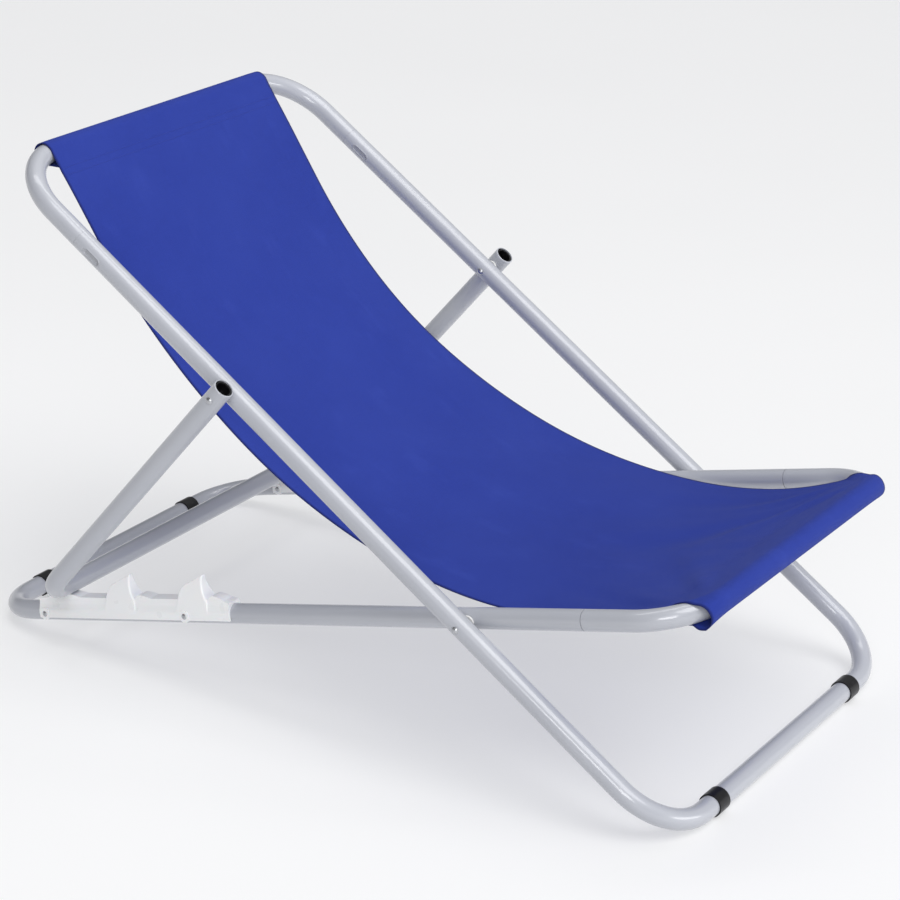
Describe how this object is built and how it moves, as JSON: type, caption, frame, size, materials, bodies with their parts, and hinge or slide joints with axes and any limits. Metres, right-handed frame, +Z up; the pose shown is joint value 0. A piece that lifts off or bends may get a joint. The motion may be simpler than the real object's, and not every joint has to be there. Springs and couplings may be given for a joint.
{
  "type": "folding beach chair",
  "caption": "Low folding beach chair: three nested bent-tube frames, a notched rack on each base tube for the rear prop, and a canvas sling seat and back.",
  "frame": {"origin": "middle of the footprint, on the floor", "axes": "+X to the sitter's left, -Y towards the front of the chair, +Z up"},
  "size_m": [0.5602, 0.905, 0.5618],
  "materials": {
    "powder_coat": "gloss light grey powder coat",
    "rack_plastic": "gloss white",
    "black_plastic": "matte black",
    "spacer_plastic": "matte natural white",
    "rivet_steel": "bright zinc plate",
    "canvas": "royal blue woven canvas"
  },
  "bodies": {
    "base": {"base_rear_tube": "powder_coat", "seat_front_tube": "powder_coat", "rack_left": "rack_plastic", "rack_right": "rack_plastic", "rack_rivets_left": "rivet_steel", "rack_rivets_right": "rivet_steel", "rear_foot_left": "black_plastic", "rear_foot_right": "black_plastic", "sling_seat": "canvas"},
    "back_frame": {"back_lower_tube": "powder_coat", "back_top_tube": "powder_coat", "front_foot_left": "black_plastic", "front_foot_right": "black_plastic", "frame_pivot_rivet_left": "rivet_steel", "frame_pivot_rivet_right": "rivet_steel", "frame_pivot_spacer_left": "spacer_plastic", "frame_pivot_spacer_right": "spacer_plastic", "sling_back": "canvas"},
    "prop": {"prop_tube": "powder_coat", "prop_pivot_rivet_left": "rivet_steel", "prop_pivot_rivet_right": "rivet_steel", "prop_pivot_spacer_left": "spacer_plastic", "prop_pivot_spacer_right": "spacer_plastic", "prop_end_plug_left": "black_plastic", "prop_end_plug_right": "black_plastic"}
  },
  "joints": [
    {"name": "back_fold", "type": "hinge", "parent": "base", "child": "back_frame", "pos_m": [0, -0.19664, 0.17419], "axis": [-1, 0, 0], "range_deg": [0, 44]},
    {"name": "prop_swing", "type": "hinge", "parent": "back_frame", "child": "prop", "pos_m": [0, 0.08474, 0.36114], "axis": [1, 0, 0], "range_deg": [0, 83.44]}
  ],
  "couplings": [
    {"joint": "prop_swing", "follows": "back_fold", "ratio": 1.896}
  ]
}
